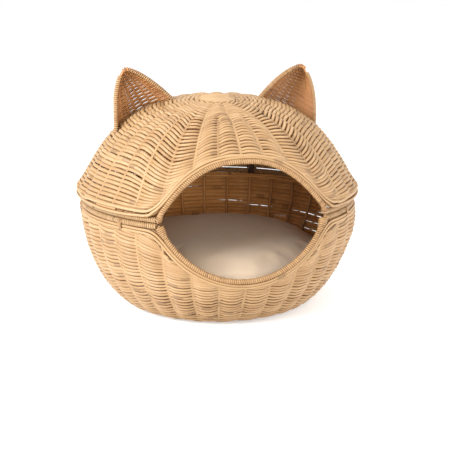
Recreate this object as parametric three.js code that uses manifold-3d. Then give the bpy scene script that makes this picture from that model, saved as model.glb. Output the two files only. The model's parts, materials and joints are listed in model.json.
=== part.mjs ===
// A wicker cat bed in two woven halves. The bowl holds a loose cushion, and the lid with its two
// cat ears tips back on cane lashings. A lens-shaped doorway is shared between the two front walls.
// Millimetres, +Z up, the front faces -Y, and the origin is the centre of the base's underside.

import * as THREE from "three";
import { mergeVertices } from "three/addons/utils/BufferGeometryUtils.js";
import Module from "manifold-3d";

// ---------------------------------------------------------------- driving dimensions

const SEAM_Z = 171; // height of the plane where bowl and lid meet
const WALL_HALF = 6; // half the thickness of a woven wall
const BOWL = { rim: 219, foot: 146.5, power: 2.325, fullness: 0.855 }; // mid-wall radii and curve
const LID = { rise: 162, radius: 228.5, flatness: 0.43, power: 4.5, shoulderRise: 15, shoulderRadius: 222 };
const DOORWAY = { halfAngle: 35.3, top: 88.5, bottom: 88.2, topPower: 2.6, bottomPower: 2.2 };
const DOORWAY_TIP = 0.8; // exponent that draws the doorway's two corners to points
const RIM_ROD = 3.5; // radius of the wrapped rods round the doorway
const RIM_CLEARANCE = 1.2; // from a rim rod to the cut edge of its wall
const HOOP = { rod: 4, offset: 5.3, radius: 219, startAngle: 38.3 };
const BINDING = { onBowl: 8, firstAngle: 52, bore: 4.4, outer: 6, width: 7 };
const LASHING = { angle: 29, bore: 4.6, outer: 7.4, width: 14 };
const BASE = { radius: 129.4, thickness: 12 };
const FOOT = { inner: 130, outer: 152, height: 14 };
const CROWN = { radius: 38, thickness: 11 };
const CUSHION = { bottom: 16, top: 106, reach: 184, cover: 2, zipHalfAngle: 28, zipHeight: 8, zipZ: 78 };
const EAR = {
  outerEdge: [[163, 103], [162.5, 140], [158, 170], [149, 193]], // x and height above the seam
  innerEdge: [[70, 154], [86, 171], [106, 188.5], [127, 201]],
  tip: [140, 204.5],
  depth: 34, // how far the woven panel is dished backwards
  rod: 3.5,
  panelHalf: 4.5,
};
const GAP = 0.3; // kept between pieces that touch
const EAR_SEAT = 0.9; // kept round the ear panels, whose facets differ a little from the lid and rods
const SEGMENTS = 50; // facets round the walls
const SLIVER = 0.02; // a cut leaves no features finer than this

// ---------------------------------------------------------------- finishes

const finish = (color, roughness) => new THREE.MeshStandardMaterial({ color, roughness, metalness: 0 });
const CANE = finish(0xd9b384, 0.6);
const CANE_ROD = finish(0xe4c294, 0.55);
const CANE_SPLIT = finish(0xc79a66, 0.6);
const LASHING_CANE = finish(0x4a2c1a, 0.7);
const COVER = finish(0xe9dfcf, 0.9);
const FILLING = finish(0xf4f1ea, 0.95);
const ZIP = finish(0xd8cdb9, 0.7);

// ---------------------------------------------------------------- solids and booleans

const wasm = await Module();
wasm.setup();

// A closed geometry as a manifold solid, with only positions and with shared corners merged.
function toSolid(geometry) {
  const bare = geometry.clone();
  bare.deleteAttribute("normal");
  bare.deleteAttribute("uv");
  const merged = mergeVertices(bare, 1e-4);
  const vertProperties = new Float32Array(merged.attributes.position.array);
  const triVerts = new Uint32Array(merged.index.array);
  return new wasm.Manifold(new wasm.Mesh({ numProp: 3, vertProperties, triVerts }));
}

function toGeometry(solid) {
  const { vertProperties, triVerts } = solid.simplify(SLIVER).getMesh();
  const geometry = new THREE.BufferGeometry();
  geometry.setAttribute("position", new THREE.BufferAttribute(vertProperties, 3));
  geometry.setIndex(new THREE.BufferAttribute(triVerts, 1));
  geometry.computeVertexNormals();
  return geometry;
}

function cut(geometry, cutters) {
  return toGeometry(cutters.reduce((solid, cutter) => solid.subtract(toSolid(cutter)), toSolid(geometry)));
}

// A profile of [radius, height] points turned round the Z axis. It runs anticlockwise, so that
// its faces point outwards, and it either closes on itself or starts and ends on the axis.
function turned(profile, segments = SEGMENTS) {
  const points = profile.map(([radius, z]) => new THREE.Vector2(radius, z));
  return new THREE.LatheGeometry(points, segments).rotateX(Math.PI / 2);
}

// A round rod along a curve, closed at both ends.
function rodAlong(curve, radius, steps, sides = 6) {
  const section = new THREE.Shape();
  for (let i = 0; i < sides; i += 1) {
    const turn = (2 * Math.PI * i) / sides;
    const point = [radius * Math.cos(turn), radius * Math.sin(turn)];
    if (i === 0) section.moveTo(...point);
    else section.lineTo(...point);
  }
  section.closePath();
  return new THREE.ExtrudeGeometry(section, { extrudePath: curve, steps, curveSegments: 1 });
}

// The slab between two offsets of a surface point(u, v), u and v from 0 to 1, as one closed body.
function slab(point, half, columns, rows) {
  const positions = [];
  const index = [];
  const step = 1e-3;
  for (const side of [1, -1]) {
    for (let j = 0; j <= rows; j += 1) {
      for (let i = 0; i <= columns; i += 1) {
        const [u, v] = [i / columns, j / rows];
        const across = point(Math.min(u + step, 1), v).sub(point(Math.max(u - step, 0), v));
        const up = point(u, Math.min(v + step, 1)).sub(point(u, Math.max(v - step, 0)));
        const normal = across.cross(up).normalize();
        positions.push(...point(u, v).addScaledVector(normal, side * half).toArray());
      }
    }
  }
  const layer = (columns + 1) * (rows + 1);
  const at = (i, j, side) => side * layer + j * (columns + 1) + i;
  const quad = (a, b, c, d) => index.push(a, b, c, a, c, d);
  for (let j = 0; j < rows; j += 1) {
    for (let i = 0; i < columns; i += 1) {
      quad(at(i, j, 0), at(i + 1, j, 0), at(i + 1, j + 1, 0), at(i, j + 1, 0));
      quad(at(i, j, 1), at(i, j + 1, 1), at(i + 1, j + 1, 1), at(i + 1, j, 1));
    }
    quad(at(0, j, 0), at(0, j + 1, 0), at(0, j + 1, 1), at(0, j, 1));
    quad(at(columns, j, 0), at(columns, j, 1), at(columns, j + 1, 1), at(columns, j + 1, 0));
  }
  for (let i = 0; i < columns; i += 1) {
    quad(at(i, 0, 0), at(i, 0, 1), at(i + 1, 0, 1), at(i + 1, 0, 0));
    quad(at(i, rows, 0), at(i + 1, rows, 0), at(i + 1, rows, 1), at(i, rows, 1));
  }
  const geometry = new THREE.BufferGeometry();
  geometry.setAttribute("position", new THREE.Float32BufferAttribute(positions, 3));
  geometry.setIndex(index);
  return geometry;
}

// ---------------------------------------------------------------- the two halves' mid-wall curves

const radians = THREE.MathUtils.degToRad;
const range = (count, from, to) =>
  Array.from({ length: count }, (_, i) => from + ((to - from) * i) / (count - 1));

// The bowl's mid-wall radius at height z: full at the seam, falling faster towards the foot.
function bowlRadius(z) {
  const depth = (SEAM_Z - z) / SEAM_Z;
  return BOWL.foot + (BOWL.rim - BOWL.foot) * (1 - depth ** BOWL.power) ** BOWL.fullness;
}

// The lid's mid-wall height above the seam at a radius: a parabola on top of a flatter dome.
function lidRise(radius) {
  const share = radius / LID.radius;
  return LID.rise * (1 - LID.flatness * share ** 2 - (1 - LID.flatness) * share ** LID.power);
}

// The lid's mid-wall radius at a height above the seam, found by halving the range it lies in.
// Below the shoulder the wall tucks in along a parabola to the hoop.
function lidRadius(rise) {
  if (rise < LID.shoulderRise) {
    const tuck = (1 - rise / LID.shoulderRise) ** 2;
    return LID.shoulderRadius - (LID.shoulderRadius - HOOP.radius) * tuck;
  }
  let [low, high] = [0, LID.radius];
  for (let i = 0; i < 30; i += 1) {
    const middle = (low + high) / 2;
    if (lidRise(middle) > rise) low = middle;
    else high = middle;
  }
  return low;
}

const wallRadius = (z) => (z < SEAM_Z ? bowlRadius(z) : lidRadius(z - SEAM_Z));

// A wall of even thickness on both sides of a mid-wall curve of [radius, z] points.
function wallProfile(middle, half = WALL_HALF) {
  const side = (sign) =>
    middle.map(([radius, z], i) => {
      const [before, after] = [middle[Math.max(i - 1, 0)], middle[Math.min(i + 1, middle.length - 1)]];
      const [dr, dz] = [after[0] - before[0], after[1] - before[1]];
      const length = Math.hypot(dr, dz);
      return [radius + (sign * half * dz) / length, z - (sign * half * dr) / length];
    });
  const outer = side(1);
  return [...outer, ...side(-1).reverse(), outer[0]];
}

// ---------------------------------------------------------------- the doorway

// Height of the doorway's edge from the seam, at a share t from -1 to 1 of its half angle. The
// arch is flatter on top than the scoop, and both run to the same two corners.
const archRise = (t) => DOORWAY.top * (1 - Math.abs(t) ** DOORWAY.topPower) ** DOORWAY_TIP;
const scoopDrop = (t) => DOORWAY.bottom * (1 - Math.abs(t) ** DOORWAY.bottomPower) ** DOORWAY_TIP;

function onWall(angle, z, offset = 0) {
  const radius = wallRadius(z) + offset;
  return new THREE.Vector3(radius * Math.sin(angle), -radius * Math.cos(angle), z);
}

// The shares t are packed towards both corners, where the edge bends most.
const doorwayShares = (count) => range(count, -1, 1).map((s) => Math.sin((s * Math.PI) / 2));

// One rim rod's centre line. It stops short of the corner by a rod's radius.
function rimCurve(edge, sign) {
  const angle = radians(DOORWAY.halfAngle);
  const points = doorwayShares(17).map((t) => {
    const share = t * 0.985;
    return onWall(share * angle, SEAM_Z + sign * Math.max(edge(share), HOOP.offset));
  });
  return new THREE.CatmullRomCurve3(points);
}

// A block with the doorway's outline, grown to clear the rim rods, that runs through the front.
function doorwayCutter() {
  const grow = RIM_ROD + RIM_CLEARANCE;
  const angle = radians(DOORWAY.halfAngle) + (grow + 1) / HOOP.radius;
  const corner = (t, z) => new THREE.Vector2(wallRadius(z) * Math.sin(t * angle), z);
  const shares = doorwayShares(25);
  const upper = shares.map((t) => corner(t, SEAM_Z + archRise(t) * (1 + grow / DOORWAY.top)));
  const lower = shares.map((t) => corner(t, SEAM_Z - scoopDrop(t) * (1 + grow / DOORWAY.bottom)));
  const outline = new THREE.Shape([...lower.slice(0, -1), ...upper.reverse().slice(0, -1)]);
  const block = new THREE.ExtrudeGeometry(outline, { depth: 200, bevelEnabled: false });
  return block.rotateX(Math.PI / 2).translate(0, -80, 0);
}

// ---------------------------------------------------------------- rings round the hoops

// Moves a piece made round the origin, with the hoop's run along X, to its place on the hoop.
function atHoop(geometry, angle, z) {
  geometry.translate(0, -HOOP.radius, z);
  return geometry.rotateZ(angle);
}

// An oval band round one rod, or round two rods whose centres are `span` apart.
function band({ bore, outer, width }, span) {
  const oval = (shape, radius) => {
    shape.absarc(0, span / 2, radius, 0, Math.PI, false);
    shape.absarc(0, -span / 2, radius, Math.PI, 2 * Math.PI, false);
    return shape;
  };
  const shape = oval(new THREE.Shape(), outer);
  shape.holes.push(oval(new THREE.Path(), bore));
  const extruded = new THREE.ExtrudeGeometry(shape, { depth: width, bevelEnabled: false, curveSegments: 4 });
  return extruded.translate(0, 0, -width / 2).rotateX(Math.PI / 2).rotateZ(Math.PI / 2);
}

// The pocket in a wall's edge that a band passes through.
function pocket({ outer, width }, span, angle, z) {
  const size = 2 * (outer + GAP) + span;
  const block = new THREE.BoxGeometry(width + 2 * GAP, 4 * WALL_HALF, size);
  return atHoop(block, angle, z);
}

// The bowl's bindings are spread evenly, and each of the lid's stands midway between two of them.
const bowlBindings = range(BINDING.onBowl, BINDING.firstAngle, 360 - BINDING.firstAngle).map(radians);
const lidBindings = bowlBindings.slice(1).map((angle, i) => (angle + bowlBindings[i]) / 2);
const lashingAngles = [180 + LASHING.angle, 180 - LASHING.angle].map(radians);

// ---------------------------------------------------------------- bowl

const bowl = new THREE.Group();
const lid = new THREE.Group();
const cushion = new THREE.Group();

function add(group, name, geometry, material) {
  const mesh = new THREE.Mesh(geometry, material);
  mesh.name = name;
  group.add(mesh);
}

const edgeInset = HOOP.rod + HOOP.offset + GAP; // from the seam to a wall's edge under its hoop

function hoopCurve(z) {
  const angles = range(33, HOOP.startAngle, 360 - HOOP.startAngle).map(radians);
  const point = (angle) =>
    new THREE.Vector3(HOOP.radius * Math.sin(angle), -HOOP.radius * Math.cos(angle), z);
  return new THREE.CatmullRomCurve3(angles.map(point));
}

function pocketsAlong(bindingAngles, z) {
  const bindings = bindingAngles.map((angle) => pocket(BINDING, 0, angle, z));
  const lashings = lashingAngles.map((angle) => pocket(LASHING, 2 * HOOP.offset, angle, SEAM_Z));
  return [...bindings, ...lashings];
}

function buildBowl() {
  const { radius, thickness } = BASE;
  const base = [[0, 0], [radius - 2, 0], [radius, 2], [radius, thickness - 2], [radius - 2, thickness], [0, thickness]];
  add(bowl, "bowl_base", turned(base), CANE);

  const { inner, outer, height } = FOOT;
  const round = 4;
  const foot = [
    [inner, 0], [outer - round, 0], [outer, round], [outer, height - round], [outer - round, height],
    [inner + 1, height], [inner, height - 1], [inner, 0],
  ];
  add(bowl, "bowl_foot_border", turned(foot), CANE_ROD);

  const lowest = height + WALL_HALF * 0.75 + GAP;
  const middle = range(9, lowest, SEAM_Z - edgeInset).map((z) => [bowlRadius(z), z]);
  const hoopZ = SEAM_Z - HOOP.offset;
  const wall = cut(turned(wallProfile(middle)), [doorwayCutter(), ...pocketsAlong(bowlBindings, hoopZ)]);
  add(bowl, "bowl_wall", wall, CANE);

  add(bowl, "bowl_hoop", rodAlong(hoopCurve(hoopZ), HOOP.rod, 50, 8), CANE_ROD);
  add(bowl, "bowl_doorway_rim", rodAlong(rimCurve(scoopDrop, -1), RIM_ROD, 30), CANE_ROD);
  bowlBindings.forEach((angle, i) => {
    add(bowl, `bowl_binding_${i + 1}`, atHoop(band(BINDING, 0), angle, hoopZ), CANE_SPLIT);
  });
  lashingAngles.forEach((angle, i) => {
    const side = i === 0 ? "left" : "right";
    add(bowl, `hinge_lashing_${side}`, atHoop(band(LASHING, 2 * HOOP.offset), angle, SEAM_Z), LASHING_CANE);
  });
}

// ---------------------------------------------------------------- lid

// The space inside the lid's outer face, grown a little, to trim the ears where they meet it.
function lidBulk() {
  const radii = range(12, LID.shoulderRadius, 0);
  const face = radii.map((radius) => [radius, lidRise(radius)]);
  const grown = wallProfile(face, WALL_HALF + EAR_SEAT).slice(0, face.length);
  grown[grown.length - 1][0] = 0;
  return turned([[0, 0], [grown[0][0], 0], ...grown]).translate(0, 0, SEAM_Z);
}

// An edge of the right-hand ear from its base (0) to near the tip (1), as a curve in X and Z.
// Both edges start inside the lid, so that trimming leaves them seated on it.
function earEdge(points) {
  return new THREE.CatmullRomCurve3(points.map(([x, rise]) => new THREE.Vector3(x, 0, SEAM_Z + rise)));
}
const outerEdge = earEdge(EAR.outerEdge);
const innerEdge = earEdge(EAR.innerEdge);

function earRod(side) {
  const points = [...EAR.outerEdge, EAR.tip, ...EAR.innerEdge.slice().reverse()];
  return earEdge(points.map(([x, rise]) => [side * x, rise]));
}

// The dished panel between the edges: deepest across the middle and towards the base. It is
// narrower than the ear by `inset` on both sides, measured square to the ear's slanting width.
function earSurface(side) {
  const inset = EAR.rod + EAR.panelHalf + 2 * EAR_SEAT;
  return (u, v) => {
    const height = v * 0.84;
    const from = innerEdge.getPoint(height);
    const to = outerEdge.getPoint(height);
    const margin = inset / from.distanceTo(to);
    const share = side > 0 ? u : 1 - u;
    const point = from.lerp(to, margin + share * (1 - 2 * margin));
    const dish = EAR.depth * (1 - (2 * u - 1) ** 2) * (1 - 0.75 * height);
    return new THREE.Vector3(side * point.x, dish, point.z);
  };
}

function buildEar(name, side) {
  const bulk = lidBulk();
  const panel = slab(earSurface(side), EAR.panelHalf, 12, 8);
  add(lid, `${name}_panel`, cut(panel, [bulk]), CANE);
  add(lid, `${name}_edge`, cut(rodAlong(earRod(side), EAR.rod, 26), [bulk]), CANE_ROD);
}

function buildLid() {
  const hoopZ = SEAM_Z + HOOP.offset;
  const lower = range(3, edgeInset, LID.shoulderRise).map((rise) => [lidRadius(rise), SEAM_Z + rise]);
  const radii = range(11, LID.shoulderRadius - 4, CROWN.radius + GAP);
  const upper = radii.map((radius) => [radius, SEAM_Z + lidRise(radius)]);
  const profile = wallProfile([...lower, ...upper]);
  const wall = cut(turned(profile), [doorwayCutter(), ...pocketsAlong(lidBindings, hoopZ)]);
  add(lid, "lid_wall", wall, CANE);

  const top = SEAM_Z + LID.rise + CROWN.thickness / 2;
  const edge = SEAM_Z + lidRise(CROWN.radius) + CROWN.thickness / 2;
  const crown = [
    [0, top - CROWN.thickness], [CROWN.radius - 1, edge - CROWN.thickness], [CROWN.radius - 1, edge], [0, top],
  ];
  add(lid, "lid_crown", turned(crown, 32), CANE_ROD);

  add(lid, "lid_hoop", rodAlong(hoopCurve(hoopZ), HOOP.rod, 50, 8), CANE_ROD);
  add(lid, "lid_doorway_rim", rodAlong(rimCurve(archRise, 1), RIM_ROD, 30), CANE_ROD);
  lidBindings.forEach((angle, i) => {
    add(lid, `lid_binding_${i + 1}`, atHoop(band(BINDING, 0), angle, hoopZ), CANE_SPLIT);
  });
  buildEar("ear_left", -1);
  buildEar("ear_right", 1);
}

// ---------------------------------------------------------------- cushion

// A crowned round cushion whose lower side tapers to follow the bowl. `inset` shrinks it.
function cushionProfile(inset) {
  const { bottom, top, reach } = CUSHION;
  const outline = [
    [reach - 66, bottom], [reach - 46, bottom + 3], [reach - 28, bottom + 16], [reach - 13, bottom + 33],
    [reach - 3, bottom + 50], [reach, bottom + 62], [reach - 6, bottom + 72], [reach - 24, bottom + 80],
    [reach - 66, bottom + 86],
  ];
  const middle = [reach - 84, bottom + 50];
  const shrunk = outline.map(([radius, z]) => {
    const away = new THREE.Vector2(radius - middle[0], z - middle[1]);
    away.setLength(away.length() - inset);
    return [middle[0] + away.x, middle[1] + away.y];
  });
  return [[0, bottom + inset], ...shrunk, [0, top - inset]];
}

// The block through the cover's back that the zip fills, or the zip itself.
function zipBlock(grow) {
  const half = radians(CUSHION.zipHalfAngle) + grow / CUSHION.reach;
  const [near, far] = [CUSHION.reach - CUSHION.cover + grow - 20 * grow, CUSHION.reach - GAP + 20 * grow];
  const shape = new THREE.Shape();
  shape.absarc(0, 0, far, Math.PI / 2 - half, Math.PI / 2 + half, false);
  shape.absarc(0, 0, near, Math.PI / 2 + half, Math.PI / 2 - half, true);
  const height = CUSHION.zipHeight + 2 * grow;
  const options = { depth: height, bevelEnabled: false, curveSegments: 12 };
  return new THREE.ExtrudeGeometry(shape, options).translate(0, 0, CUSHION.zipZ - height / 2);
}

function buildCushion() {
  const outer = toSolid(turned(cushionProfile(0), 40));
  const hollow = toSolid(turned(cushionProfile(CUSHION.cover), 40));
  const cover = outer.subtract(hollow).subtract(toSolid(zipBlock(GAP)));
  add(cushion, "cushion_cover", toGeometry(cover), COVER);
  add(cushion, "cushion_filling", turned(cushionProfile(CUSHION.cover + GAP), 40), FILLING);
  add(cushion, "cushion_zip", zipBlock(0), ZIP);
}

buildBowl();
buildLid();
buildCushion();

const basket = new THREE.Group();
basket.name = "wicker_cat_bed";
basket.add(bowl, lid, cushion);
export default basket;
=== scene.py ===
"""A wicker cat bed: a woven bowl, a woven lid with cat ears on cane lashings, and a cushion.

Every cane is a strand of its own. Metres, +Z up, the doorway faces -Y, and the origin is the
centre of the base's underside. Angles are measured round +Z from the doorway towards +X.
"""

from __future__ import annotations

import functools
import json
import logging
import math
from collections.abc import Callable
from dataclasses import dataclass, field
from enum import Enum
from typing import Any

import bpy
import numpy as np
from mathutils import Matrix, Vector

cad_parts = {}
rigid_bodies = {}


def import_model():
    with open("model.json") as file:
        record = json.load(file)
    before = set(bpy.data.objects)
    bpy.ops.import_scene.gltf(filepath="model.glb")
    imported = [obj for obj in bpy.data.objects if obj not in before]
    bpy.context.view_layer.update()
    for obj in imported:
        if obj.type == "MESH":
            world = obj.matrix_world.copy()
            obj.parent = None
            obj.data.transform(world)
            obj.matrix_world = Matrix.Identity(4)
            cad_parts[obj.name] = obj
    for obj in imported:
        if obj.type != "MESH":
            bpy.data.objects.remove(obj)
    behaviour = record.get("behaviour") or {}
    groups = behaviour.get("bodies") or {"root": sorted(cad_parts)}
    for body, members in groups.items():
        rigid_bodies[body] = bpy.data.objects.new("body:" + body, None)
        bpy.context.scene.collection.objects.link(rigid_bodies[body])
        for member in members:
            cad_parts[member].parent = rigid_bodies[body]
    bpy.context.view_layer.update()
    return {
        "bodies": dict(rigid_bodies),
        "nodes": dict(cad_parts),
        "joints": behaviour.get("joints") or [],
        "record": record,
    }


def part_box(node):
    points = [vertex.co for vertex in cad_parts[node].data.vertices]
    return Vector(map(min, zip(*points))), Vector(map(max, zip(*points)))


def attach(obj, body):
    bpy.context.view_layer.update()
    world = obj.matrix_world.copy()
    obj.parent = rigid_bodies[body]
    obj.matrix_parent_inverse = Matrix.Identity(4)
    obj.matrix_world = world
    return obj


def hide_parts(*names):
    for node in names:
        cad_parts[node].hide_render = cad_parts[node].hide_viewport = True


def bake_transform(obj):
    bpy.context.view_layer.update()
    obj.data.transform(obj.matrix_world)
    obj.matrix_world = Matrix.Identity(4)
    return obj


log = logging.getLogger("wicker_cat_bed")

MM = 0.001
TURN = 2.0 * math.pi
Array = np.ndarray
BACK = np.array([0.0, 1.0, 0.0])
DOWN = np.array([0.0, 0.0, -1.0])


# ---------------------------------------------------------------- layout, read from the frame


@dataclass(frozen=True)
class Layout:
    """Sizes and places of the basket, worked out from the frame's boxes."""

    seam: float
    hoop_rod: float
    hoop_offset: float
    hoop_radius: float
    door_angle: float
    door_top: float
    door_bottom: float
    lid_rise: float
    foot_outer: float
    base_radius: float

    @classmethod
    def from_frame(cls, frame: dict[str, Any]) -> Layout:
        """Reads the layout.


        Returns:
            The layout, in metres and radians.
        """
        hinge = next(joint for joint in frame["joints"] if joint["name"] == "lid_hinge")
        seam = hinge["pos_m"][2]
        low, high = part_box("bowl_hoop")
        rod = (high[2] - low[2]) / 2
        arch_low, arch_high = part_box("lid_doorway_rim")
        rim_rod = 3.5 * MM
        hoop_radius = high[0] - rod
        return cls(
            seam=seam,
            hoop_rod=rod,
            hoop_offset=seam - (high[2] + low[2]) / 2,
            hoop_radius=hoop_radius,
            door_angle=math.asin((arch_high[0] - rim_rod) / (hoop_radius + 1.5 * MM)),
            door_top=arch_high[2] - rim_rod - seam,
            door_bottom=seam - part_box("bowl_doorway_rim")[0][2] - rim_rod,
            lid_rise=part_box("lid_wall")[1][2] - 6 * MM - seam,
            foot_outer=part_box("bowl_foot_border")[1][0],
            base_radius=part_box("bowl_base")[1][0],
        )


# ---------------------------------------------------------------- strands


def unit(vectors: Array) -> Array:
    """The vectors at length one."""
    return vectors / np.maximum(np.linalg.norm(vectors, axis=-1, keepdims=True), 1e-12)


def distances(path: Array) -> Array:
    """How far along a path each of its points lies."""
    return np.concatenate([[0.0], np.cumsum(np.linalg.norm(np.diff(path, axis=0), axis=1))])


def ring_angles(count: int) -> Array:
    """Evenly spaced angles once round, without the last."""
    return TURN * np.arange(count) / count


def round_z(angle: Array, radius: Array | float, z: Array | float) -> Array:
    """Points at an angle, radius and height: (r sin a, -r cos a, z)."""
    return np.stack([radius * np.sin(angle), -radius * np.cos(angle), z + 0 * angle], -1)


def spans(mask: Array) -> list[slice]:
    """The slices in which a mask is true."""
    edges = np.flatnonzero(np.diff(np.concatenate([[0], mask.astype(int), [0]])))
    return [slice(a, b) for a, b in zip(edges[::2], edges[1::2])]


def smoothstep(edge0: float, edge1: float, x: Array | float) -> Array:
    """0 below edge0, 1 above edge1, and 3t^2 - 2t^3 between."""
    t = np.clip((np.asarray(x) - edge0) / (edge1 - edge0), 0.0, 1.0)
    return t * t * (3.0 - 2.0 * t)


@dataclass
class Bundle:
    """Strands of cane gathered into one mesh, each a section swept along its own path."""

    name: str
    verts: list[Array] = field(default_factory=list)
    quads: list[Array] = field(default_factory=list)
    quad_uvs: list[Array] = field(default_factory=list)
    caps: list[Array] = field(default_factory=list)
    tints: list[Array] = field(default_factory=list)
    count: int = 0

    def strand(
        self,
        path: Array,
        hint: Array,
        radius: float | Array,
        *,
        flat: float | Array = 1.0,
        sides: int = 6,
        closed: bool = False,
        tint: float | Array = 0.5,
        start: float = 0.0,
    ) -> None:
        """Adds one strand: point + radius * (cos a * normal + flat * sin a * binormal).

        Args:
            path: The centre line, (n, 3).
            hint: The direction that a = 0 faces, (n, 3) or (3,), squared to the path here.
            radius: Half the strand's depth along the hint, one value or one per point.
            flat: How many times wider than deep the strand is, one value or one per point.
            sides: Facets round the section.
            closed: Whether the path joins up with itself.
            tint: Where between the pale and the deep cane colour it lies, 0 to 1.
            start: Where along a natural cane it begins, in metres.
        """
        rings = len(path)
        if rings < 3:
            return
        if closed:
            tangent = unit(np.roll(path, -1, 0) - np.roll(path, 1, 0))
        else:
            tangent = unit(np.gradient(path, axis=0))
        hint = np.broadcast_to(hint, path.shape)
        normal = unit(hint - np.sum(hint * tangent, -1, keepdims=True) * tangent)
        binormal = np.cross(tangent, normal)
        turn = ring_angles(sides)
        radius = np.broadcast_to(np.asarray(radius, float), (rings,))[:, None, None]
        flat = np.broadcast_to(np.asarray(flat, float), (rings,))[:, None, None]
        cosine, sine = np.cos(turn)[None, :, None], np.sin(turn)[None, :, None]
        ring = cosine * normal[:, None] + flat * sine * binormal[:, None]
        self.verts.append((path[:, None] + radius * ring).reshape(-1, 3))
        self.tints.append(np.repeat(np.broadcast_to(np.asarray(tint, float), (rings,)), sides))

        index = self.count + np.arange(rings * sides).reshape(rings, sides)
        if closed:
            index = np.vstack([index, index[:1]])
            path = np.vstack([path, path[:1]])
        length = start + distances(path)
        around = np.roll(index, -1, 1)
        self.quads.append(np.stack([index[:-1], around[:-1], around[1:], index[1:]], -1).reshape(-1, 4))
        side = np.arange(sides + 1) / sides
        here, ahead = length[:-1, None], length[1:, None]
        left, right = side[None, :-1], side[None, 1:]
        corners = [(here, left), (here, right), (ahead, right), (ahead, left)]
        uv = np.stack([np.stack(np.broadcast_arrays(*corner), -1) for corner in corners], 2)
        self.quad_uvs.append(uv.reshape(-1, 2))
        if not closed:
            self.caps.append(np.stack([index[0, ::-1], index[-1]]))
        self.count += rings * sides

    def build(self, finish: Finish, body: str, slot: str, nodes: tuple[str, ...] = ()) -> bpy.types.Object:
        """Makes the mesh, dresses it and hands it to the frame.

        Args:
            finish: What it is made of.
            body: The CAD body that it rides on.
            slot: The record's material slot; not used.
            nodes: CAD nodes that it stands for.

        Returns:
            The finished object.
        """
        quads = np.concatenate(self.quads).tolist()
        caps = [cap.tolist() for pair in self.caps for cap in pair]
        mesh = bpy.data.meshes.new(self.name)
        mesh.from_pydata(np.concatenate(self.verts).tolist(), [], quads + caps)
        uv = np.concatenate(self.quad_uvs)
        uv = np.concatenate([uv, np.zeros((len(mesh.loops) - len(uv), 2))])
        mesh.uv_layers.new(name="grain").data.foreach_set("uv", uv.ravel())
        mesh.attributes.new("tint", "FLOAT", "POINT").data.foreach_set("value", np.concatenate(self.tints))
        smooth = np.ones(len(mesh.polygons), bool)
        smooth[len(quads):] = False
        mesh.polygons.foreach_set("use_smooth", smooth)
        mesh.update()
        obj = bpy.data.objects.new(self.name, mesh)
        bpy.context.collection.objects.link(obj)
        mesh.materials.append(finish.material())
        if body:
            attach(obj, body)
        if nodes:
            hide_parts(*nodes)
        log.info("%s: %d faces on %s", self.name, len(mesh.polygons), body or "two bodies")
        return obj


# ---------------------------------------------------------------- materials


class Value:
    """A number that varies over a surface, as a shader socket with Python's arithmetic."""

    def __init__(self, nodes: Nodes, socket: bpy.types.NodeSocket) -> None:
        """Wraps an output socket of the tree."""
        self.nodes = nodes
        self.socket = socket

    def _maths(self, operation: str, first: Any, second: Any = 0.0) -> Value:
        """Adds a Math node that works on two values or numbers."""
        node = self.nodes.add("ShaderNodeMath", {"operation": operation}, {0: first, 1: second})
        return Value(self.nodes, node.outputs[0])

    def __add__(self, other: Any) -> Value:
        """This plus the other."""
        return self._maths("ADD", self, other)

    def __sub__(self, other: Any) -> Value:
        """This minus the other."""
        return self._maths("SUBTRACT", self, other)

    def __rsub__(self, other: Any) -> Value:
        """The other minus this."""
        return self._maths("SUBTRACT", other, self)

    def __mul__(self, other: Any) -> Value:
        """This times the other."""
        return self._maths("MULTIPLY", self, other)

    __radd__ = __add__
    __rmul__ = __mul__

    def power(self, exponent: float) -> Value:
        """This to a power."""
        return self._maths("POWER", self, exponent)

    def over(self, threshold: float) -> Value:
        """1 where this is above the threshold, otherwise 0."""
        return self._maths("GREATER_THAN", self, threshold)

    def sine(self) -> Value:
        """The sine of this."""
        return self._maths("SINE", self)


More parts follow.
